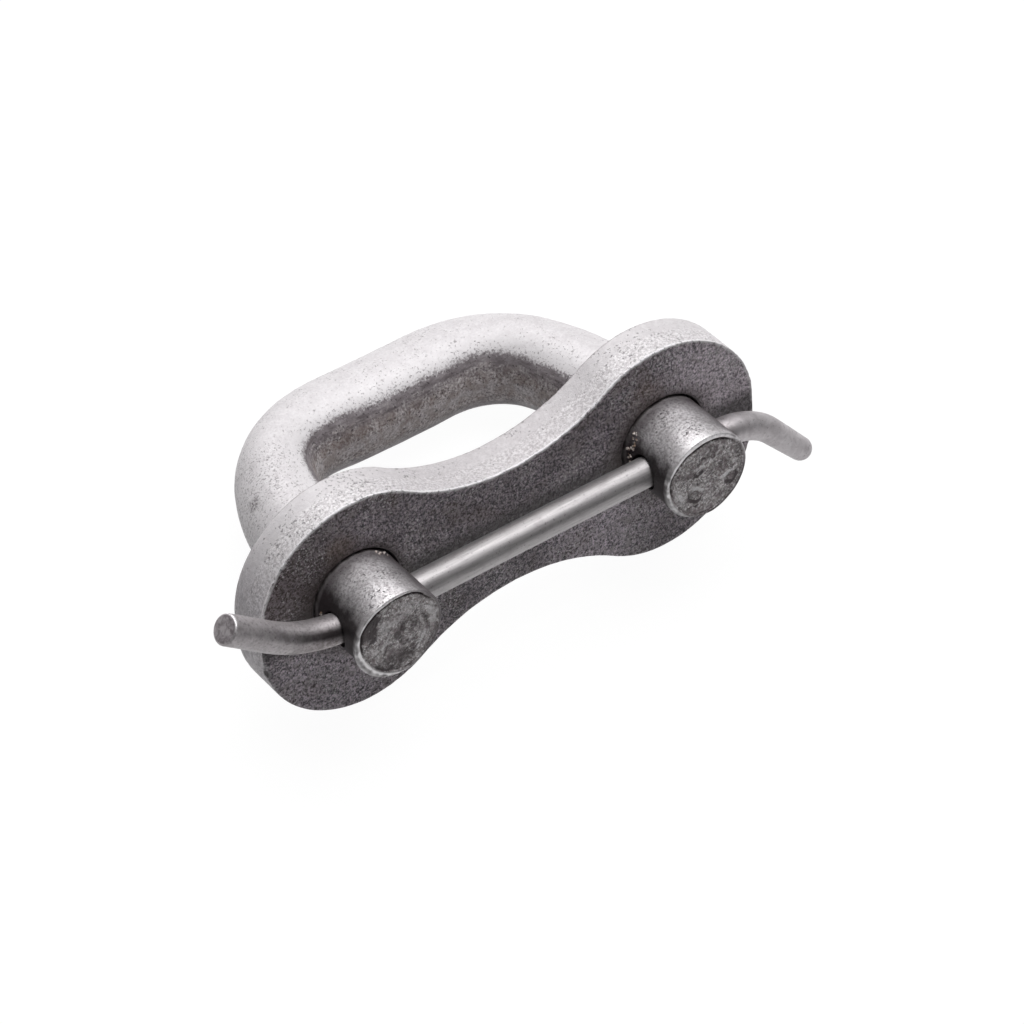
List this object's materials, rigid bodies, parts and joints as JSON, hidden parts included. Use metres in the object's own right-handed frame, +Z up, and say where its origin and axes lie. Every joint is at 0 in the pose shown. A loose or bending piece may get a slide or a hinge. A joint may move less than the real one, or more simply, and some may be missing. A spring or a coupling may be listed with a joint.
{
  "type": "chain connecting link",
  "caption": "Chain connecting link: a bow of round bar closed across its two ends by a waisted side plate, kept on by a bent wire pin.",
  "frame": {"origin": "on the ground, under the middle of the link's bounding box, as the link lies at rest", "axes": "+X along the side plate and the pull of the chain, +Z up from the ground, +Y from the pin towards the crest of the bow. The bow slopes down towards +Y by 23.67 degrees, because the link lies on the crest of its bow and the lower edge of its plate"},
  "size_m": [0.1024, 0.05, 0.0356],
  "materials": {
    "forged_bar": "bare tumbled steel, finely pitted, satin on the two ends",
    "punched_plate": "bare tumbled steel plate, mottled grey faces and a brighter sheared rim",
    "drawn_wire": "bare drawn steel wire, smooth satin"
  },
  "bodies": {
    "bow": {"bow": "forged_bar"},
    "side_plate": {"side_plate": "punched_plate"},
    "locking_pin": {"locking_pin": "drawn_wire"}
  },
  "joints": [
    {"name": "plate_slide", "type": "slide", "parent": "bow", "child": "side_plate", "axis": [0, 0.9159, -0.4015], "range_m": [0, 0.006]},
    {"name": "pin_turn", "type": "hinge", "parent": "bow", "child": "locking_pin", "pos_m": [0.0009, -0.01673, 0.02222], "axis": [1, 0, 0], "range_deg": [-24, 24]}
  ]
}
